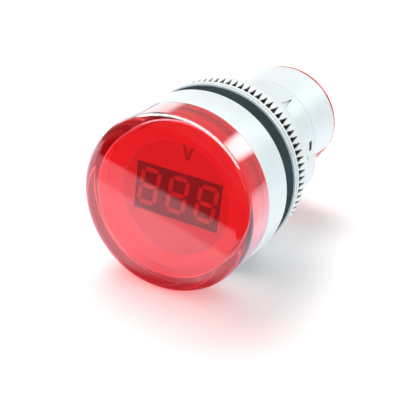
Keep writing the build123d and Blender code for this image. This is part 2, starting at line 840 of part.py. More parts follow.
# Rear shell: cup with a spigot, two latch tongues, rails and the terminal bay
latch_plane = Plane(
    origin=(0, 0, 0),
    x_dir=(cos(radians(window_angle)), 0, sin(radians(window_angle))),
    z_dir=(-sin(radians(window_angle)), 0, cos(radians(window_angle))),
)
barb_start = window_start + barb_clearance
barb_end = window_start + window_length - barb_clearance
barb_width = window_width - 2 * barb_clearance
tongue_side = (window_width + tongue_slot) / 2
rail_front = barrel_length + shell_bore - spigot_bore
rail_inner = shell_bore - rail_reach
rail_outer = shell_bore + shell_wall / 2
rail_spacing = board_thickness + 2 * board_clearance + rail_height
with BuildPart() as rear_shell:
    with BuildSketch(Plane.XY) as shell_profile:
        with BuildLine():
            Polyline(
                (0, total_depth),
                (shell_radius, total_depth),
                (shell_radius, barrel_length),
                (spigot_radius, barrel_length),
                (spigot_radius, spigot_front),
                (0, spigot_front),
                close=True,
            )
        make_face()
        fillet(corner(shell_profile, shell_radius, total_depth), shell_edge)
    revolve(axis=Axis.Y)
    add(shell_cavity.part, mode=Mode.SUBTRACT)
    # the bay is cut away on both sides of a barrier rib
    for side in (-1, 1):
        with BuildSketch(Plane.YZ.offset(side * barrier / 2)):
            with BuildLine():
                Polyline(
                    (bay_start, bay_roof_front),
                    (total_depth, bay_roof_rear),
                    (total_depth, -2 * shell_radius),
                    (bay_start, -2 * shell_radius),
                    close=True,
                )
            make_face()
        extrude(amount=side * shell_radius, mode=Mode.SUBTRACT)
    # blind pockets for the screws' ends
    with BuildSketch(across(bay_start)):
        with Locations((0, terminal_z)):
            with GridLocations(2 * terminal_x, 0, 2, 1):
                Circle(screw_radius + pocket_clearance)
    extrude(amount=pocket_depth, mode=Mode.SUBTRACT)
    # slots in the roof for the tabs of the terminals
    with BuildSketch(Plane.XY.offset(strip_top)):
        with Locations((0, bay_start + (strip_thickness + tab_clearance) / 2)):
            with GridLocations(2 * terminal_x, 0, 2, 1):
                Rectangle(tab_width + 2 * tab_clearance, strip_thickness + tab_clearance)
    extrude(amount=board_height - strip_top, mode=Mode.SUBTRACT)
    # rails above and below the main board's edges
    with BuildSketch(across(rail_front)):
        with Locations((0, board_height + board_thickness / 2)):
            with GridLocations(rail_inner + rail_outer, rail_spacing, 2, 2):
                Rectangle(rail_outer - rail_inner, rail_height)
    extrude(amount=-(total_depth - shell_rear_wall / 2 - rail_front))
    # slots that free the latch tongues, and the tongues' barbs
    with Locations(Location((0, spigot_front, 0), (0, -window_angle, 0))):
        with Locations((0, 0, tongue_side), (0, 0, -tongue_side)):
            Box(
                2 * shell_radius,
                tongue_length,
                tongue_slot,
                align=(Align.CENTER, Align.MIN, Align.CENTER),
                mode=Mode.SUBTRACT,
            )
    with BuildSketch(latch_plane):
        Polygon(
            (spigot_radius - spigot_wall / 2, barb_start),
            (spigot_radius, barb_start),
            (spigot_radius + barb_height, barb_end),
            (spigot_radius - spigot_wall / 2, barb_end),
            align=None,
        )
        mirror(about=Plane.YZ)
    extrude(amount=barb_width / 2, both=True)
finish(rear_shell.part, "rear_shell")

# Wrap: thin sleeve over the top of the rear shell
wrap_front = barrel_length + wrap_front_gap
wrap_rear = total_depth - wrap_rear_margin
with BuildPart() as wrap_label:
    with BuildSketch(Plane.XY):
        with Locations((shell_radius + wrap_thickness / 2, (wrap_front + wrap_rear) / 2)):
            Rectangle(wrap_thickness, wrap_rear - wrap_front)
    revolve(axis=Axis.Y)
    with BuildSketch(Plane.YZ):
        with BuildLine():
            Polyline(
                (wrap_front, wrap_edge_front),
                (wrap_rear, wrap_edge_rear),
                (wrap_rear, -2 * shell_radius),
                (wrap_front, -2 * shell_radius),
                close=True,
            )
        make_face()
    extrude(amount=2 * shell_radius, both=True, mode=Mode.SUBTRACT)
finish(wrap_label.part, "wrap_label")

# Terminals: strip, clamp plate and screw on each side of the barrier
for side, word in ((-1, "left"), (1, "right")):
    place = (side * terminal_x, terminal_z)
    with BuildPart() as terminal_strip:
        with BuildSketch(across(bay_start)) as strip_outline:
            with Locations(place):
                Rectangle(strip_width, strip_height)
            chamfer(strip_outline.vertices().group_by(Axis.Y)[0], strip_corner)
            with Locations((side * terminal_x, (strip_top + tab_top) / 2)):
                Rectangle(tab_width, tab_top - strip_top)
            with Locations(place):
                Circle(screw_radius + screw_clearance, mode=Mode.SUBTRACT)
        extrude(amount=-strip_thickness)
    finish(terminal_strip.part, f"terminal_strip_{word}")

    with BuildPart() as terminal_clamp:
        with BuildSketch(across(clamp_front)) as clamp_outline:
            with Locations(place):
                Rectangle(strip_width, strip_height)
            chamfer(clamp_outline.vertices(), clamp_corner)
            with Locations(place):
                Circle(screw_radius + clamp_clearance, mode=Mode.SUBTRACT)
        extrude(amount=-clamp_thickness)
    finish(terminal_clamp.part, f"terminal_clamp_{word}")

    with BuildPart() as terminal_screw:
        with BuildSketch(across(screw_seat)):
            with Locations(place):
                Circle(screw_head_radius)
        extrude(amount=-screw_head_height)
        fillet(terminal_screw.edges().sort_by(Axis.Y)[-1], screw_head_edge)
        with BuildSketch(across(screw_seat)):
            with Locations(place):
                Circle(screw_radius)
        extrude(amount=screw_length)
        chamfer(terminal_screw.edges().sort_by(Axis.Y)[0], screw_clearance * 4)
        with BuildSketch(across(screw_seat + screw_head_height - screw_slot_depth)):
            with Locations(place):
                Rectangle(2 * screw_head_radius, screw_slot)
                Rectangle(screw_slot, screw_cross)
        extrude(amount=-screw_slot_depth, mode=Mode.SUBTRACT)
    finish(terminal_screw.part, f"terminal_screw_{word}")
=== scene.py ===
"""Looks of a round panel voltmeter with a red lens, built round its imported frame."""

import json
import math

import bmesh
import bpy
from mathutils import Matrix, Vector


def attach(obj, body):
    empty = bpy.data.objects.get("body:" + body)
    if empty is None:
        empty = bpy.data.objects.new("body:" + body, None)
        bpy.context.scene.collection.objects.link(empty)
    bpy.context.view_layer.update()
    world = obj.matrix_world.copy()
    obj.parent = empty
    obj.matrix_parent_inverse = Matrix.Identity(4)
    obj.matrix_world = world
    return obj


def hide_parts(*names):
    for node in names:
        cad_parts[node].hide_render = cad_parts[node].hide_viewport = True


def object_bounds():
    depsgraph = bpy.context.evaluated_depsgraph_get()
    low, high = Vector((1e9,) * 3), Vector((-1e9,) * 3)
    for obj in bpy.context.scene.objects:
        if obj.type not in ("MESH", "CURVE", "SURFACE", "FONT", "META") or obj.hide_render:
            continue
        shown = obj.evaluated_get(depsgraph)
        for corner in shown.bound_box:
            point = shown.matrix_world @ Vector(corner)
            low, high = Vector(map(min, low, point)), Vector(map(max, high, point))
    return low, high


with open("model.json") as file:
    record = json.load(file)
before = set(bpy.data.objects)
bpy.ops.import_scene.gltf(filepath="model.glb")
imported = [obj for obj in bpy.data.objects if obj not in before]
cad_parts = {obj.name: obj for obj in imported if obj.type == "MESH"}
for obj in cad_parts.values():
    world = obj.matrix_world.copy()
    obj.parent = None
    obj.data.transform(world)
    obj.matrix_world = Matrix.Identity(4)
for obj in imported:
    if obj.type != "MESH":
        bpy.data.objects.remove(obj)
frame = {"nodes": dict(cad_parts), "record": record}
cad_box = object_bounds()

MM = 0.001

# Camera, fitted to the photograph: its place, lens and sensor in millimetres, its near and far
# limits in metres, and its directions in the part's own frame
CAMERA_PLACE = (58.554, -133.18, 65.525)
CAMERA_LOOK = (-0.36329, 0.82589, -0.43119)
CAMERA_UP = (-0.28237, 0.34344, 0.89572)
CAMERA_LENS = 90.0
CAMERA_SENSOR = 36.0
CAMERA_LIMITS = (0.01, 10.0)

# Floor
FLOOR_GAP = 0.1 * MM               # under the lowest point of the head
FLOOR_SIZE = 1.6
FLOOR_SHADE = (0.93, 0.93, 0.93)   # as the light sees it
FLOOR_SEEN = (1.32, 1.25, 1.24)    # as the camera sees it

# Painted light that gloss sees on the floor: a painted pool of light that starts with two steps, and
# a painted red glow under the lens
POOL_EDGE = (-0.323, 0.946, 0.0)   # direction across the two steps
POOL_START = -39.4 * MM            # first step, along that direction
POOL_STEP = -31.2 * MM             # second step
POOL_SOFT = 0.8 * MM               # half the width of a step
POOL_SHARE = 0.55                  # of the full light, between the two steps
# painted light: colour of the pool that gloss sees on the floor
PAINTED_POOL_SHADE = (1.50, 1.40, 1.58)
GLOW_PLACE = (2.0 * MM, -12.5 * MM)
GLOW_REACH = (14.0 * MM, 9.0 * MM)
GLOW_CORE = 0.5                    # share of its reach where the glow is full
# painted light: colour of the red glow that gloss sees under the lens
PAINTED_GLOW_SHADE = (0.95, 0.16, 0.20)

# Light of the world. The Y of a direction is 1 straight behind the meter and -1 in front of it,
# its Z is 1 straight above, and the light changes evenly over the span that is given
WHITE = (1.0, 1.0, 1.0)
COOL = (0.89, 0.98, 1.0)
WARM = (1.0, 0.985, 0.965)
FRONT_LIGHT = 2.15                 # on matt surfaces, from the front
BACK_LIGHT = 0.44                  # and from behind
LIGHT_SPAN = (-0.7, 0.5)           # in Y
HIGH_LIGHT = 0.30                  # share of it that comes from overhead
HIGH_SPAN = (0.05, 0.6)            # in Z
FRONT_GLOSS = 0.07                 # in gloss, from the front
BACK_GLOSS = 0.32                  # and from behind
GLOSS_SPAN = (-0.2, 0.8)           # in Y

# Bright spots behind the meter that gloss mirrors: direction, strength, and the cosines of the
# angles where the spot ends and where it is full
SPOTS = (
    ((0.30, 0.87, 0.39), 5.0, 0.984, 0.9975),
    ((-0.64, 0.74, 0.13), 1.3, 0.955, 0.985),
    ((-0.80, 0.50, 0.33), 2.0, 0.955, 0.985),
)

# Soft lamps: place, target, width and height in millimetres, power in watts
LAMPS = (
    {
        "name": "key",
        "place": (-125, 85, 255),
        "target": (0, 0, 0),
        "size": (220, 160),
        "power": 0.54,
    },
    {
        "name": "side",
        "place": (260, 0, 120),
        "target": (0, 5, 0),
        "size": (140, 140),
        "power": 0.22,
        "colour": COOL,
        "shadow": False,
    },
    {
        "name": "sheen",
        "place": (-20, 135, 268),
        "target": (0, 0, 0),
        "size": (800, 170),
        "power": 2.6,
        "mirrored": True,
    },
)

# Texture, in features per metre
PATCH = 260.0                      # patches of colour on moulded pieces
GLOSS_PATCH = 1040.0               # patches of gloss
GRAIN = 9000.0
METAL_PATCH = 900.0
METAL_GLOSS = 4000.0
METAL_GRAIN = 12000.0
METAL_GRAIN_HEIGHT = 0.004 * MM

# Octaves of a noise, and its values between which a number or a colour changes
PATCH_DETAIL = 3.0
GRAIN_DETAIL = 2.0
SPREAD_SPAN = (0.3, 0.7)
TINT_SPAN = (0.35, 0.65)

HOLLOW_SAMPLES = 8                 # rays that tell how open the surroundings are, for painted shade in hollows

# Plain moulded finishes: dark and light colour, least and most roughness, height of the grain
MOULDINGS = {
    "display_grey": ((0.14, 0.14, 0.15), (0.17, 0.17, 0.18), (0.5, 0.65), 0.004 * MM),
    "display_milk": ((0.55, 0.53, 0.50), (0.62, 0.60, 0.57), (0.25, 0.35), 0.002 * MM),
    "unit_print": ((0.40, 0.40, 0.41), (0.44, 0.44, 0.45), (0.5, 0.6), 0.002 * MM),
    "board_green": ((0.02, 0.16, 0.06), (0.03, 0.22, 0.09), (0.3, 0.4), 0.004 * MM),
    "black_moulding": ((0.02, 0.02, 0.02), (0.035, 0.035, 0.035), (0.5, 0.65), 0.005 * MM),
    "capacitor_sleeve": ((0.02, 0.03, 0.07), (0.03, 0.04, 0.10), (0.2, 0.3), 0.003 * MM),
    "film_yellow": ((0.66, 0.46, 0.05), (0.75, 0.55, 0.08), (0.25, 0.35), 0.003 * MM),
    "resistor_beige": ((0.62, 0.50, 0.34), (0.72, 0.60, 0.42), (0.3, 0.4), 0.004 * MM),
    "trimmer_blue": ((0.03, 0.11, 0.42), (0.05, 0.15, 0.50), (0.35, 0.45), 0.004 * MM),
    "rotor_white": ((0.78, 0.78, 0.76), (0.84, 0.84, 0.82), (0.4, 0.5), 0.004 * MM),
    "washer_pale": ((0.70, 0.77, 0.81), (0.76, 0.82, 0.86), (0.4, 0.5), 0.004 * MM),
    "wrap_white": ((0.82, 0.86, 0.87), (0.86, 0.89, 0.90), (0.35, 0.45), 0.003 * MM),
}

# Moulded finishes with less mirror or with painted shade in their hollows
HOUSING_FINISH = ((0.81, 0.85, 0.86), (0.85, 0.88, 0.89), (0.30, 0.42), 0.004 * MM)
HOUSING_SPECULAR = 0.35
# painted shade: the depth colour darkens the housing's grooves, slots and engraving
HOUSING_PAINTED_SHADE = {"depth": (0.45, 0.50, 0.52), "reach": 0.9 * MM, "openness": (0.3, 0.92)}
NUT_FINISH = ((0.82, 0.835, 0.83), (0.86, 0.875, 0.87), (0.40, 0.55), 0.006 * MM)
# painted shade: the depth colour darkens the nut's notches and other narrow hollows
NUT_PAINTED_SHADE = {"depth": (0.045, 0.038, 0.032), "reach": 2.0 * MM, "openness": (0.50, 0.995)}
GASKET_FINISH = ((0.034, 0.050, 0.057), (0.048, 0.066, 0.074), (0.6, 0.8), 0.012 * MM)
GASKET_SPECULAR = 0.0
SHELL_FINISH = ((0.62, 0.012, 0.025), (0.72, 0.02, 0.035), (0.22, 0.32), 0.004 * MM)
SHELL_SPECULAR = 0.3
FACE_FINISH = ((0.93, 0.92, 0.91), (0.96, 0.95, 0.94), (0.5, 0.6), 0.004 * MM)

# Metals: dark and light colour, least and most roughness
METALS = {
    "tinned_wire": ((0.62, 0.62, 0.60), (0.76, 0.76, 0.74), (0.25, 0.4)),
    "terminal_brass": ((0.72, 0.52, 0.22), (0.84, 0.65, 0.32), (0.25, 0.4)),
    "plated_steel": ((0.62, 0.62, 0.62), (0.75, 0.75, 0.74), (0.25, 0.38)),
}

# Clear red plastic
LENS_SHADE = (1.0, 0.10, 0.12)
LENS_IOR = 1.49
LENS_ROUGH = 0.03
LENS_COAT_IOR = 1.7                # a little above real lacquer, for a clear mirror
LENS_COAT_ROUGH = 0.02
LENS_WAVES = 1500.0                # per metre, of its surface
LENS_WAVE_HEIGHT = 0.001 * MM
LENS_LIGHT = (1.0, 0.20, 0.23)     # colour of the light that it lets through

# Lens, in the measures of its solid
LENS_FRONT = -13.8 * MM
LENS_REAR = -6.7 * MM
LENS_RADIUS = 14.2 * MM
LENS_REAR_RADIUS = 14.26 * MM
LENS_RIM = 2.0 * MM
LENS_BORE = 12.2 * MM
LENS_INSIDE = -11.0 * MM
LENS_CORNER = 0.5 * MM
LENS_COLUMNS = 256
LENS_RIM_STEPS = 20
LENS_CORNER_STEPS = 8

# Front housing, in the measures of its solid
BEZEL_FRONT = -6.65 * MM           # a hair behind the lens, so that light gets between them
BEZEL_RADIUS = 14.5 * MM
BEZEL_FRONT_RADIUS = 14.31 * MM
BEZEL_EDGE = 0.35 * MM
SEAT_RADIUS = 12.05 * MM           # the lens's seat reaches in to the face ring
RECESS_FLOOR = -3.7 * MM
POCKET_RADIUS = 9.7 * MM
POCKET_FLOOR = -0.5 * MM
BORE = 9.2 * MM
PLAIN_RADIUS = 10.12 * MM
BARREL_END = 23.5 * MM
BARREL_EDGE = 0.15 * MM
HOUSING_COLUMNS = 192

# Latch windows of the barrel
WINDOW_START = 20.9 * MM
WINDOW_LENGTH = 1.2 * MM
WINDOW_WIDTH = 1.7 * MM
WINDOW_ANGLE = 7.6                 # degrees from +X towards +Z
WINDOW_SHADE = 0.05 * MM           # depth over which the painted shade of its walls sets in
# painted shade inside the latch windows
WINDOW_PAINTED_SHADE = (0.15, 0.18, 0.16)

# Engraved arrow of the barrel
ARROW_START = 17.9 * MM
ARROW_LENGTH = 3.9 * MM
ARROW_WIDTH = 1.2 * MM
ARROW_DEPTH = 0.25 * MM
ARROW_CUTTER = 0.75 * MM           # thickness of its cutter, which stands out of the barrel
ARROW_ANGLE = 58.6                 # degrees from +X towards +Z

# Thread of the barrel, M22 x 1.5 and right-handed
THREAD_RADIUS = 10.95 * MM
THREAD_START = 0.35 * MM
THREAD_END = 14.2 * MM
THREAD_RUN_OUT = 0.85 * MM
THREAD_PITCH = 1.5 * MM
THREAD_DEPTH = 0.78 * MM
THREAD_CREST = 0.22                # share of the pitch that is flat on top
THREAD_ROOT = 0.14                 # and at the bottom
THREAD_FADE = 1.1 * MM             # the groove runs out over this length

# Lock nut, in the measures of its solid apart from its teeth and lugs
NUT_FRONT = 4.4 * MM
NUT_REAR = 13.2 * MM
NUT_BORE = 11.0 * MM
NUT_RADIUS = 14.42 * MM
NUT_EDGE = 0.12 * MM
NUT_EDGE_STEPS = 4
FLANGE = 0.65 * MM
DOME_END_RADIUS = 12.5 * MM
DOME_BULGE = 0.35 * MM
DOME_EDGE = 0.3 * MM
DOME_ROWS = 8
BORE_CHAMFER = 0.5 * MM

# Teeth of the nut
TOOTH_COUNT = 80
TOOTH_COLUMNS = 10                 # of the mesh, for each tooth
TOOTH_ROWS = 8
TOOTH_PHASE = 2.2                  # degrees
TOOTH_RADIUS = 13.75 * MM          # beside the flange; the teeth rise from there
TOOTH_END_RADIUS = 14.3 * MM
TOOTH_LENGTH = 2.9 * MM
NOTCH_DEPTH = 2.5 * MM
NOTCH_SHAPE = 0.55                 # 1 is a plain V; less makes it wider at the bottom
NOTCH_LEAST = 1e-6                 # its width at the very end, in shares of half a pitch

# Finger lugs of the nut
LUG_RADIUS = 13.05 * MM
LUG_WIDTH = 5.3 * MM
LUG_LENGTH = 3.5 * MM
LUG_ROOT = 2.0 * MM                # length that is sunk into the nut
LUG_ANGLE = -0.8                   # degrees from +X towards +Z
LUG_EDGE = 0.25 * MM
LUG_EDGE_STEPS = 3
LUG_SHARP = 50.0                   # degrees from which an edge of it is softened

# Wrap of the rear shell, a little shorter than its solid, so that the shell's red rim shows
WRAP_RADIUS = 10.12 * MM
WRAP_INNER = 10.0 * MM
WRAP_START = 23.52 * MM
WRAP_END = 33.45 * MM
WRAP_LOW_START = -1.28 * MM        # height of its lower edges at the front
WRAP_LOW_END = -2.34 * MM          # and at the rear
WRAP_OVERCUT = 1.0 * MM            # the cutter of its lower edges passes both ends
WRAP_COLUMNS = 192

# Face ring behind the lens: depths of its ledge and well
LEDGE_FACE = -8.7 * MM
WELL_FACE = -7.7 * MM
# painted shade of the well, which is coloured darker than the raised ledge
WELL_PAINTED_SHADE = (0.80, 0.74, 0.73)

# The letter V over the display
V_PLACE = (1.0 * MM, 6.35 * MM)    # X and Z of its foot
V_FACE = -7.7 * MM
V_THICKNESS = 0.03 * MM
V_HALF_WIDTH = 1.0 * MM
V_HEIGHT = 2.3 * MM
V_STROKE = 0.5 * MM
V_TIP = 0.27 * MM
V_CROTCH = 0.95 * MM

# Meshes
ARC_STEPS = 6
HARD_EDGE = 28.0                   # degrees from which an edge stays hard
WELD = 0.0005 * MM                 # points closer than this are one


def camera():
    """The photograph's camera."""
    data = bpy.data.cameras.new("camera")
    data.lens = CAMERA_LENS
    data.sensor_width = CAMERA_SENSOR
    data.clip_start, data.clip_end = CAMERA_LIMITS
    cam = bpy.data.objects.new("camera", data)
    bpy.context.scene.collection.objects.link(cam)
    look = Vector(CAMERA_LOOK).normalized()
    right = look.cross(Vector(CAMERA_UP)).normalized()
    up = right.cross(look)
    turn = Matrix((right, up, -look)).transposed().to_4x4()
    cam.matrix_world = Matrix.Translation(Vector(CAMERA_PLACE) * MM) @ turn
    bpy.context.scene.camera = cam


def material(name):
    """A new node material and its main shader."""
    made = bpy.data.materials.new(name)
    made.use_nodes = True
    return made, made.node_tree.nodes["Principled BSDF"]


def put(tree, socket, value):
    """Link an output to an input, or set the input to a number, a vector or a colour."""
    if isinstance(value, bpy.types.NodeSocket):
        tree.links.new(value, socket)
    elif socket.type == "RGBA":
        socket.default_value = (*value, 1.0)
    else:
        socket.default_value = value


def node(tree, kind, inputs=None, **settings):
    """A node of a tree, with its plain settings and what goes into its inputs."""
    made = tree.nodes.new(kind)
    for key, value in settings.items():
        setattr(made, key, value)
    for key, value in (inputs or {}).items():
        put(tree, made.inputs[key], value)
    return made


def number(tree, operation, first, second, clamp=False):
    """The result of a sum on two numbers."""
    made = node(tree, "ShaderNodeMath", {0: first, 1: second}, operation=operation, use_clamp=clamp)
    return made.outputs["Value"]


def vector(tree, operation, first, second):
    """The vector that comes out of a sum on two vectors."""
    made = node(tree, "ShaderNodeVectorMath", {0: first, 1: second}, operation=operation)
    return made.outputs["Vector"]


def length(tree, line):
    """The length of a vector."""
    return node(tree, "ShaderNodeVectorMath", {0: line}, operation="LENGTH").outputs["Value"]


def share_along(tree, line, direction):
    """How far a vector goes along a direction."""
    made = node(tree, "ShaderNodeVectorMath", {0: line, 1: direction}, operation="DOT_PRODUCT")
    return made.outputs["Value"]


def ramp(tree, value, span, low=0.0, high=1.0, shape="LINEAR"):
    """A number that goes from low to high as the value goes through its span."""
    inputs = {"Value": value, "From Min": span[0], "From Max": span[1], "To Min": low, "To Max": high}
    return node(tree, "ShaderNodeMapRange", inputs, interpolation_type=shape).outputs["Result"]


def mixed(tree, share, first, second):
    """A colour between two at a share of the way."""
    inputs = {"Factor": share, "A": first, "B": second}
    return node(tree, "ShaderNodeMix", inputs, data_type="RGBA").outputs["Result"]


def own_place(tree):
    """The shaded point in the part's own coordinates."""
    return node(tree, "ShaderNodeTexCoord").outputs["Object"]


def separated(tree, line):
    """The X, Y and Z of a vector."""
    return node(tree, "ShaderNodeSeparateXYZ", {"Vector": line}).outputs


def noise(tree, scale, detail=PATCH_DETAIL):
    """Noise in the part's own coordinates; scale is features per metre."""
    inputs = {"Vector": own_place(tree), "Scale": scale, "Detail": detail}
    return node(tree, "ShaderNodeTexNoise", inputs).outputs["Fac"]


def tint(tree, value, dark, light):
    """A colour between two that follows a noise."""
    made = node(tree, "ShaderNodeValToRGB", {"Fac": value})
    for stop, place, colour in zip(made.color_ramp.elements, TINT_SPAN, (dark, light)):
        stop.position = place
        stop.color = (*colour, 1.0)
    return made.outputs["Color"]


def grain(tree, shader, scale, height):
    """Fine bump of a surface; height in metres."""
    fine = noise(tree, scale, GRAIN_DETAIL)
    bump = node(tree, "ShaderNodeBump", {"Strength": 1.0, "Distance": height, "Height": fine})
    tree.links.new(bump.outputs["Normal"], shader.inputs["Normal"])


def painted_hollow_shade(tree, colour, depth, reach, openness):
    """Painted shade: the colour, turned to the depth's in grooves and slots that are narrower than
    the reach.

    openness: shares of open surroundings where the colour is all the depth's and all its own.
    """
    near = node(tree, "ShaderNodeAmbientOcclusion", {"Distance": reach}, samples=HOLLOW_SAMPLES)
    return mixed(tree, ramp(tree, near.outputs["AO"], openness), depth, colour)


def moulded(name, dark, light, rough, grain_height, shaded=None, specular=0.5):
    """Moulded plastic or rubber: faint patches of colour and gloss, a fine grain, and painted shade
    in hollows if one is given.
    """
    made, shader = material(name)
    tree = made.node_tree
    shader.inputs["Specular IOR Level"].default_value = specular
    colour = tint(tree, noise(tree, PATCH), dark, light)
    # painted shade in hollows, where the finish asks for it
    if shaded:
        colour = painted_hollow_shade(tree, colour, **shaded)
    tree.links.new(colour, shader.inputs["Base Color"])
    gloss = ramp(tree, noise(tree, GLOSS_PATCH), SPREAD_SPAN, *rough)
    tree.links.new(gloss, shader.inputs["Roughness"])
    grain(tree, shader, GRAIN, grain_height)
    return made


def paint_in_shade(made, share_of, shade):
    """Paint shade into a finish's colour: turn it to a shade colour by a share that a function works
    out in its tree.
    """
    tree = made.node_tree
    base = tree.nodes["Principled BSDF"].inputs["Base Color"]
    plain = base.links[0].from_socket
    tree.links.new(mixed(tree, share_of(tree), plain, shade), base)
    return made


def in_window(tree):
    """Share of painted shade: 1 inside a latch window, under the barrel's surface, and 0 elsewhere.
    """
    x, y, z = separated(tree, own_place(tree))
    across = node(tree, "ShaderNodeCombineXYZ", {"X": x, "Z": z}).outputs["Vector"]
    sunk = ramp(tree, length(tree, across), (PLAIN_RADIUS - WINDOW_SHADE, PLAIN_RADIUS), 1.0, 0.0)
    behind = number(tree, "GREATER_THAN", y, WINDOW_START - WINDOW_SHADE)
    ahead = number(tree, "LESS_THAN", y, WINDOW_START + WINDOW_LENGTH + WINDOW_SHADE)
    return number(tree, "MULTIPLY", sunk, number(tree, "MULTIPLY", behind, ahead))


def housing_plastic():
    """White of the bezel and barrel, with painted shade on the walls of the latch windows."""
    made = moulded(
        "white_moulding", *HOUSING_FINISH, shaded=HOUSING_PAINTED_SHADE, specular=HOUSING_SPECULAR
    )
    return paint_in_shade(made, in_window, WINDOW_PAINTED_SHADE)


def in_well(tree):
    """Share of painted shade: 0 on the ledge of the face ring and 1 in its well."""
    return ramp(tree, separated(tree, own_place(tree))["Y"], (LEDGE_FACE, WELL_FACE))


def face_plastic():
    """White of the stepped ring, with painted shade in its well, so that its raised ledge looks lit
    more than its well.
    """
    return paint_in_shade(moulded("face_white", *FACE_FINISH), in_well, WELL_PAINTED_SHADE)


def metal(name, dark, light, rough):
    """Plated or bare metal with fine patches of gloss."""
    made, shader = material(name)
    tree = made.node_tree
    shader.inputs["Metallic"].default_value = 1.0
    colour = tint(tree, noise(tree, METAL_PATCH), dark, light)
    tree.links.new(colour, shader.inputs["Base Color"])
    gloss = ramp(tree, noise(tree, METAL_GLOSS), SPREAD_SPAN, *rough)
    tree.links.new(gloss, shader.inputs["Roughness"])
    grain(tree, shader, METAL_GRAIN, METAL_GRAIN_HEIGHT)
    return made


def lens_plastic():
    """Clear red plastic; light that shines through it stays red instead of black."""
    made, shader = material("red_lens")
    tree = made.node_tree
    shader.inputs["Base Color"].default_value = (*LENS_SHADE, 1.0)
    shader.inputs["Transmission Weight"].default_value = 1.0
    shader.inputs["IOR"].default_value = LENS_IOR
    shader.inputs["Roughness"].default_value = LENS_ROUGH
    shader.inputs["Coat Weight"].default_value = 1.0
    shader.inputs["Coat IOR"].default_value = LENS_COAT_IOR
    shader.inputs["Coat Roughness"].default_value = LENS_COAT_ROUGH
    grain(tree, shader, LENS_WAVES, LENS_WAVE_HEIGHT)
    path = node(tree, "ShaderNodeLightPath").outputs
    soft = number(tree, "MAXIMUM", path["Is Shadow Ray"], path["Is Diffuse Ray"])
    passing = node(tree, "ShaderNodeBsdfTransparent", {"Color": LENS_LIGHT}).outputs["BSDF"]
    both = node(tree, "ShaderNodeMixShader", {"Fac": soft, 1: shader.outputs["BSDF"], 2: passing})
    tree.links.new(both.outputs["Shader"], tree.nodes["Material Output"].inputs["Surface"])
    return made


def finishes():
    """One material for each of the record's slots, and one for the printed letter."""
    made = {
        "red_lens": lens_plastic(),
        "white_moulding": housing_plastic(),
        "white_nut": moulded("white_nut", *NUT_FINISH, shaded=NUT_PAINTED_SHADE),
        "face_white": face_plastic(),
        "gasket_rubber": moulded("gasket_rubber", *GASKET_FINISH, specular=GASKET_SPECULAR),
        "red_moulding": moulded("red_moulding", *SHELL_FINISH, specular=SHELL_SPECULAR),
    }
    for name, values in MOULDINGS.items():
        made[name] = moulded(name, *values)
    for name, values in METALS.items():
        made[name] = metal(name, *values)
    return made


def dress(materials):
    """Each carried-over node takes the finish of its slot."""
    for part in frame["record"]["subparts"]:
        piece = frame["nodes"][part["node"]]
        piece.data.materials.clear()
        piece.data.materials.append(materials[part["material_slot"]])


def arc(middle, radius, first, last, steps=ARC_STEPS):
    """Points of an arc in the profile's (radius, depth) plane; angles in degrees."""
    turns = [math.radians(first + (last - first) * i / steps) for i in range(steps + 1)]
    return [(middle[0] + radius * math.cos(a), middle[1] + radius * math.sin(a)) for a in turns]


def between(first, second, share):
    """A value between two at a share of the way."""
    return first + (second - first) * share


def crisp(mesh):
    """Smooth faces, with every edge sharper than the limit left hard."""
    work = bmesh.new()
    work.from_mesh(mesh)
    for face in work.faces:
        face.smooth = True
    for edge in work.edges:
        joins_two = len(edge.link_faces) == 2
        edge.smooth = joins_two and edge.calc_face_angle(0.0) < math.radians(HARD_EDGE)
    work.to_mesh(mesh)
    work.free()


def new_piece(name, work):
    """A scene object from a bmesh."""
    mesh = bpy.data.meshes.new(name)
    work.to_mesh(mesh)
    work.free()
    piece = bpy.data.objects.new(name, mesh)
    bpy.context.scene.collection.objects.link(piece)
    return piece


def complete(piece, finish):
    """Shade the piece and give it its one material."""
    crisp(piece.data)
    piece.data.materials.clear()
    piece.data.materials.append(finish)


def box_cutter(name, low, high, turn):
    """A box between two corners, turned about the barrel's axis from +X towards +Z."""
    work = bmesh.new()
    bmesh.ops.create_cube(work, size=1.0)
    low, high = Vector(low), Vector(high)
    size, middle = high - low, (low + high) / 2
    for v in work.verts:
        v.co = Vector([v.co[i] * size[i] + middle[i] for i in range(3)])
    bmesh.ops.rotate(work, verts=work.verts, matrix=Matrix.Rotation(-math.radians(turn), 3, "Y"))
    return new_piece(name, work)


def prism(name, outline, thickness, place):
    """A flat outline of (x, y) points made thick and set by a matrix."""
    work = bmesh.new()
    lower = [work.verts.new(place @ Vector((x, y, 0.0))) for x, y in outline]
    upper = [work.verts.new(place @ Vector((x, y, thickness))) for x, y in outline]
    work.faces.new(lower)
    work.faces.new(upper)
    for i in range(len(outline)):
        j = (i + 1) % len(outline)
        work.faces.new((lower[i], lower[j], upper[j], upper[i]))
    bmesh.ops.recalc_face_normals(work, faces=work.faces)
    return new_piece(name, work)


def bake(piece):
    """Apply the piece's modifiers."""
    graph = bpy.context.evaluated_depsgraph_get()
    made = bpy.data.meshes.new_from_object(piece.evaluated_get(graph))
    piece.modifiers.clear()
    piece.data = made


def combine(piece, other, operation):
    """Take the other's volume out of the piece, or add it, and delete the other."""
    step = piece.modifiers.new("step", "BOOLEAN")
    step.operation = operation
    step.solver = "EXACT"
    step.object = other
    bake(piece)
    bpy.data.objects.remove(other)


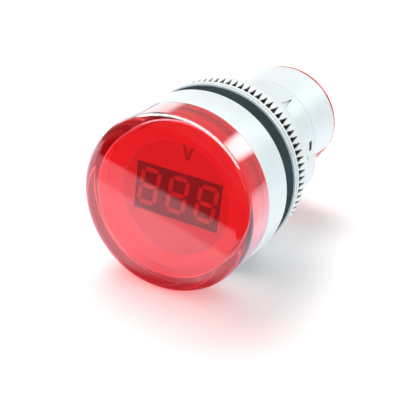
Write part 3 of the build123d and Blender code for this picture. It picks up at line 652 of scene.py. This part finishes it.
def lathe(rows_at, columns):
    """A closed ring from profiles at shares of a full turn, from +X towards +Z."""
    work = bmesh.new()
    rings = []
    for j in range(columns + 1):
        angle = 2 * math.pi * j / columns
        rows = rows_at(j / columns)
        ring = [work.verts.new((r * math.cos(angle), y, r * math.sin(angle))) for r, y in rows]
        rings.append(ring)
    count = len(rings[0])
    for first, second in zip(rings, rings[1:]):
        for i in range(count):
            k = (i + 1) % count
            work.faces.new((first[i], first[k], second[k], second[i]))
    bmesh.ops.remove_doubles(work, verts=work.verts, dist=WELD)
    bmesh.ops.dissolve_degenerate(work, edges=work.edges, dist=WELD)
    bmesh.ops.recalc_face_normals(work, faces=work.faces)
    return work


def lens_rows(_):
    """Closed profile of the lens, as (radius, depth)."""
    rim_middle = (LENS_RADIUS - LENS_RIM, LENS_FRONT + LENS_RIM)
    corner_middle = (LENS_BORE - LENS_CORNER, LENS_INSIDE + LENS_CORNER)
    return [
        (0.0, LENS_FRONT),
        *arc(rim_middle, LENS_RIM, -90, 0, LENS_RIM_STEPS),
        (LENS_REAR_RADIUS, LENS_REAR),
        (LENS_BORE, LENS_REAR),
        *arc(corner_middle, LENS_CORNER, 0, -90, LENS_CORNER_STEPS),
        (0.0, LENS_INSIDE),
    ]


def lens(finish):
    """Clear cap, seated on the white bezel instead of plugged into it, so that its rim glows."""
    piece = new_piece("lens_clear", lathe(lens_rows, LENS_COLUMNS))
    complete(piece, finish)
    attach(piece, "meter")
    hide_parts("lens_cap")


def thread_rows(turn):
    """Profile of the thread at a share of a full turn, from front to rear."""
    flank = (1.0 - THREAD_CREST - THREAD_ROOT) / 2
    corners = [(0.0, 0.0), (THREAD_CREST, 0.0), (THREAD_CREST + flank, 1.0), (1.0 - flank, 1.0)]
    turns = math.ceil((THREAD_END - THREAD_START) / THREAD_PITCH) + 1
    rows = []
    for k in range(turns):
        for share, depth in corners:
            y = THREAD_START + (k + share - turn) * THREAD_PITCH
            y = min(max(y, THREAD_START), THREAD_END)
            fade = min(y - THREAD_START, THREAD_END - y) / THREAD_FADE
            rows.append((THREAD_RADIUS - depth * min(fade, 1.0) * THREAD_DEPTH, y))
    return rows


def housing_rows(turn):
    """Closed profile of the housing at a share of a full turn, as (radius, depth)."""
    front_middle = (BEZEL_FRONT_RADIUS - BEZEL_EDGE, BEZEL_FRONT + BEZEL_EDGE)
    rear_middle = (BEZEL_RADIUS - BEZEL_EDGE, -BEZEL_EDGE)
    return [
        (SEAT_RADIUS, BEZEL_FRONT),
        *arc(front_middle, BEZEL_EDGE, -90, 0),
        *arc(rear_middle, BEZEL_EDGE, 0, 90),
        (THREAD_RADIUS, 0.0),
        *thread_rows(turn),
        (PLAIN_RADIUS, THREAD_END + THREAD_RUN_OUT),
        (PLAIN_RADIUS, BARREL_END - BARREL_EDGE),
        (PLAIN_RADIUS - BARREL_EDGE, BARREL_END),
        (BORE, BARREL_END),
        (BORE, POCKET_FLOOR),
        (POCKET_RADIUS, POCKET_FLOOR),
        (POCKET_RADIUS, RECESS_FLOOR),
        (SEAT_RADIUS, RECESS_FLOOR),
    ]


def window_cutter():
    """A bar through the barrel that cuts both latch windows."""
    low = (-THREAD_RADIUS, WINDOW_START, -WINDOW_WIDTH / 2)
    high = (THREAD_RADIUS, WINDOW_START + WINDOW_LENGTH, WINDOW_WIDTH / 2)
    return box_cutter("window_cutter", low, high, WINDOW_ANGLE)


def arrow_cutter():
    """A thick triangle, sunk into the barrel by the arrow's depth."""
    lean = math.radians(ARROW_ANGLE)
    out = Vector((math.cos(lean), 0.0, math.sin(lean)))
    along = Vector((0.0, 1.0, 0.0))
    axes = Matrix((along, out.cross(along), out)).transposed().to_4x4()
    start = out * (PLAIN_RADIUS - ARROW_DEPTH) + along * ARROW_START
    outline = [(0.0, -ARROW_WIDTH / 2), (ARROW_LENGTH, 0.0), (0.0, ARROW_WIDTH / 2)]
    return prism("arrow_cutter", outline, ARROW_CUTTER, Matrix.Translation(start) @ axes)


def housing(finish):
    """Bezel and barrel with the real thread, in place of the plain solid."""
    piece = new_piece("housing_threaded", lathe(housing_rows, HOUSING_COLUMNS))
    combine(piece, window_cutter(), "DIFFERENCE")
    combine(piece, arrow_cutter(), "DIFFERENCE")
    complete(piece, finish)
    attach(piece, "meter")
    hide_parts("front_housing")


def dome(share):
    """Point of the nut's rear taper, an arc that stands out of the straight line."""
    swell = 4 * share * (1 - share) * DOME_BULGE
    y = between(NUT_FRONT + FLANGE + TOOTH_LENGTH, NUT_REAR - DOME_EDGE, share)
    return between(TOOTH_END_RADIUS, DOME_END_RADIUS, share) + swell, y


def tooth_rows(offset):
    """Profile of the teeth at an offset from a notch's middle, in shares of half a pitch."""
    rows = []
    for i in range(TOOTH_ROWS + 1):
        share = i / TOOTH_ROWS
        width = max(1 - share, NOTCH_LEAST)
        sunk = max(0.0, 1 - abs(offset) / width) ** NOTCH_SHAPE * (1 - share) * NOTCH_DEPTH
        y = NUT_FRONT + FLANGE + share * TOOTH_LENGTH
        rows.append((between(TOOTH_RADIUS, TOOTH_END_RADIUS, share) - sunk, y))
    return rows


def nut_rows(offset):
    """Closed profile of the nut, as (radius, depth)."""
    flange_middle = (NUT_RADIUS - NUT_EDGE, NUT_FRONT + NUT_EDGE)
    rear_middle = (DOME_END_RADIUS - DOME_EDGE, NUT_REAR - DOME_EDGE)
    return [
        (NUT_BORE, NUT_FRONT),
        *arc(flange_middle, NUT_EDGE, -90, 0, NUT_EDGE_STEPS),
        (NUT_RADIUS, NUT_FRONT + FLANGE),
        *tooth_rows(offset),
        *[dome(i / DOME_ROWS) for i in range(1, DOME_ROWS)],
        *arc(rear_middle, DOME_EDGE, 0, 90, NUT_EDGE_STEPS),
        (NUT_BORE + BORE_CHAMFER, NUT_REAR),
        (NUT_BORE, NUT_REAR - BORE_CHAMFER),
    ]


def lug(name, angle):
    """One finger lug: a block between the bore and the lug's radius, with soft edges."""
    outer = math.degrees(math.asin(LUG_WIDTH / 2 / LUG_RADIUS))
    inner = math.degrees(math.asin(LUG_WIDTH / 2 / NUT_BORE))
    outline = arc((0.0, 0.0), LUG_RADIUS, -outer, outer) + arc((0.0, 0.0), NUT_BORE, inner, -inner)
    axes = Matrix.Rotation(math.radians(90), 4, "X")
    turn = Matrix.Rotation(-math.radians(angle), 4, "Y")
    place = turn @ Matrix.Translation((0.0, NUT_REAR + LUG_LENGTH, 0.0)) @ axes
    piece = prism(name, outline, LUG_LENGTH + LUG_ROOT, place)
    soft = piece.modifiers.new("soft", "BEVEL")
    soft.width = LUG_EDGE
    soft.segments = LUG_EDGE_STEPS
    soft.limit_method = "ANGLE"
    soft.angle_limit = math.radians(LUG_SHARP)
    bake(piece)
    return piece


def nut(finish):
    """Lock nut with its ring of teeth, in place of the plainer solid."""

    def rows_at(share):
        # the first notch has its middle at share 0, and the offset runs from -1 to 1 over a pitch
        place = share * TOOTH_COUNT + 0.5
        return nut_rows(2 * (place - math.floor(place)) - 1)

    piece = new_piece("nut_toothed", lathe(rows_at, TOOTH_COUNT * TOOTH_COLUMNS))
    piece.data.transform(Matrix.Rotation(-math.radians(TOOTH_PHASE), 4, "Y"))
    for word, angle in (("right", LUG_ANGLE), ("left", LUG_ANGLE + 180)):
        combine(piece, lug(f"lug_{word}", angle), "UNION")
    complete(piece, finish)
    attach(piece, "nut")
    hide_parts("lock_nut")


def wrap_cutter():
    """All that lies under the wrap's lower edges, which slope down to the rear."""
    beyond = 2 * WRAP_RADIUS
    slope = (WRAP_LOW_END - WRAP_LOW_START) / (WRAP_END - WRAP_START)
    first, last = WRAP_START - WRAP_OVERCUT, WRAP_END + WRAP_OVERCUT
    outline = [
        (first, WRAP_LOW_START - slope * WRAP_OVERCUT),
        (last, WRAP_LOW_END + slope * WRAP_OVERCUT),
        (last, -beyond),
        (first, -beyond),
    ]
    axes = Matrix(((0.0, 0.0, 1.0), (1.0, 0.0, 0.0), (0.0, 1.0, 0.0))).to_4x4()
    place = Matrix.Translation((-beyond, 0.0, 0.0)) @ axes
    return prism("wrap_cutter", outline, 2 * beyond, place)


def wrap(finish):
    """White sleeve over the top of the rear shell."""

    def rows_at(_):
        return [
            (WRAP_INNER, WRAP_START),
            (WRAP_RADIUS, WRAP_START),
            (WRAP_RADIUS, WRAP_END),
            (WRAP_INNER, WRAP_END),
        ]

    piece = new_piece("wrap_sleeve", lathe(rows_at, WRAP_COLUMNS))
    combine(piece, wrap_cutter(), "DIFFERENCE")
    complete(piece, finish)
    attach(piece, "meter")
    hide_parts("wrap_label")


def v_mark(finish):
    """The unit's letter, printed over the display."""
    outline = [
        (-V_HALF_WIDTH, V_HEIGHT),
        (-V_HALF_WIDTH + V_STROKE, V_HEIGHT),
        (0.0, V_CROTCH),
        (V_HALF_WIDTH - V_STROKE, V_HEIGHT),
        (V_HALF_WIDTH, V_HEIGHT),
        (V_TIP, 0.0),
        (-V_TIP, 0.0),
    ]
    axes = Matrix.Rotation(math.radians(90), 4, "X")
    place = Matrix.Translation((V_PLACE[0], V_FACE, V_PLACE[1])) @ axes
    piece = prism("unit_letter", outline, V_THICKNESS, place)
    piece.data.materials.append(finish)
    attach(piece, "meter")


def only_gloss(tree, path):
    """1 for a mirrored ray, 0 for one that went into a clear piece."""
    return number(tree, "SUBTRACT", path["Is Glossy Ray"], path["Is Transmission Ray"], clamp=True)


def seen_straight(tree, path):
    """1 for a ray from the camera or through a clear piece."""
    return number(tree, "MAXIMUM", path["Is Camera Ray"], path["Is Transmission Ray"])


def painted_pool_of_light(tree, place):
    """Painted light that gloss sees on the floor: dark in front, then two steps up to its full shade.
    """
    along = share_along(tree, place, POOL_EDGE)
    first = ramp(tree, along, (POOL_START - POOL_SOFT, POOL_START + POOL_SOFT), high=POOL_SHARE)
    rest = 1.0 - POOL_SHARE
    second = ramp(tree, along, (POOL_STEP - POOL_SOFT, POOL_STEP + POOL_SOFT), high=rest)
    return mixed(tree, number(tree, "ADD", first, second), (0.0, 0.0, 0.0), PAINTED_POOL_SHADE)


def painted_glow_share(tree, place):
    """1 in the middle of the painted red glow under the lens, and 0 outside it."""
    centred = vector(tree, "SUBTRACT", place, (*GLOW_PLACE, 0.0))
    shrunk = vector(tree, "MULTIPLY", centred, (1 / GLOW_REACH[0], 1 / GLOW_REACH[1], 0.0))
    return ramp(tree, length(tree, shrunk), (GLOW_CORE, 1.0), 1.0, 0.0, "SMOOTHSTEP")


def floor_finish():
    """Pale floor, with its own shades for the light and for the camera, and painted light for gloss:
    a pool of light and a red glow under the lens.
    """
    made, shader = material("floor")
    tree = made.node_tree
    tree.nodes.remove(shader)
    place = node(tree, "ShaderNodeNewGeometry").outputs["Position"]
    # painted reflection: the pool of light and the red glow, shown only to gloss rays
    mirrored = mixed(tree, painted_glow_share(tree, place), painted_pool_of_light(tree, place), PAINTED_GLOW_SHADE)
    path = node(tree, "ShaderNodeLightPath").outputs
    straight = mixed(tree, seen_straight(tree, path), FLOOR_SHADE, FLOOR_SEEN)
    colour = mixed(tree, only_gloss(tree, path), straight, mirrored)
    matt = node(tree, "ShaderNodeBsdfDiffuse", {"Color": colour})
    tree.links.new(matt.outputs["BSDF"], tree.nodes["Material Output"].inputs["Surface"])
    return made


def lay_floor():
    """A plain pale floor under the head."""
    mesh = bpy.data.meshes.new("floor")
    half = FLOOR_SIZE / 2
    z = cad_box[0].z - FLOOR_GAP
    corners = [(-half, -half, z), (half, -half, z), (half, half, z), (-half, half, z)]
    mesh.from_pydata(corners, [], [(0, 1, 2, 3)])
    floor = bpy.data.objects.new("floor", mesh)
    bpy.context.scene.collection.objects.link(floor)
    mesh.materials.append(floor_finish())


def matt_light(tree, y, z):
    """Strength of the world's light on matt surfaces: most from the front, least from above."""
    light = ramp(tree, y, LIGHT_SPAN, FRONT_LIGHT, BACK_LIGHT)
    return number(tree, "MULTIPLY", light, ramp(tree, z, HIGH_SPAN, 1.0, HIGH_LIGHT))


def gloss_light(tree, direction, y):
    """Strength of the world in gloss: dim, with its bright spots."""
    total = ramp(tree, y, GLOSS_SPAN, FRONT_GLOSS, BACK_GLOSS)
    for toward, power, outer, inner in SPOTS:
        nearness = share_along(tree, direction, Vector(toward).normalized())
        spot = ramp(tree, nearness, (outer, inner), high=power, shape="SMOOTHSTEP")
        total = number(tree, "ADD", total, spot)
    return total


def light_world():
    """A world that is white to the camera, with one light for matt surfaces and one for gloss."""
    world = bpy.data.worlds.new("world")
    bpy.context.scene.world = world
    world.use_nodes = True
    tree = world.node_tree
    direction = node(tree, "ShaderNodeTexCoord").outputs["Generated"]
    _, y, z = separated(tree, direction)
    path = node(tree, "ShaderNodeLightPath").outputs
    inputs = {
        "Factor": only_gloss(tree, path),
        "A": matt_light(tree, y, z),
        "B": gloss_light(tree, direction, y),
    }
    strength = node(tree, "ShaderNodeMix", inputs, data_type="FLOAT").outputs["Result"]
    plain = tree.nodes["Background"]
    put(tree, plain.inputs["Color"], COOL)
    put(tree, plain.inputs["Strength"], strength)
    bright = node(tree, "ShaderNodeBackground", {"Color": WHITE, "Strength": 1.0})
    inputs = {
        "Fac": seen_straight(tree, path),
        1: plain.outputs["Background"],
        2: bright.outputs["Background"],
    }
    both = node(tree, "ShaderNodeMixShader", inputs)
    tree.links.new(both.outputs["Shader"], tree.nodes["World Output"].inputs["Surface"])


def lamp(name, place, target, size, power, colour=WARM, mirrored=False, shadow=True):
    """A soft lamp that faces a target; it lights matt surfaces, or else only shows in gloss."""
    data = bpy.data.lights.new(name, "AREA")
    data.shape = "RECTANGLE"
    data.size = size[0] * MM
    data.size_y = size[1] * MM
    data.energy = power
    data.color = colour
    data.use_shadow = shadow
    made = bpy.data.objects.new(name, data)
    made.visible_diffuse = not mirrored
    made.visible_glossy = mirrored
    bpy.context.scene.collection.objects.link(made)
    made.location = Vector(place) * MM
    facing = (Vector(target) - Vector(place)).normalized()
    made.rotation_mode = "QUATERNION"
    made.rotation_quaternion = facing.to_track_quat("-Z", "Y")


camera()
materials = finishes()
dress(materials)
lens(materials["red_lens"])
housing(materials["white_moulding"])
nut(materials["white_nut"])
wrap(materials["wrap_white"])
v_mark(materials["unit_print"])
lay_floor()
light_world()
for values in LAMPS:
    lamp(**values)

bpy.context.scene.view_settings.view_transform = "Standard"
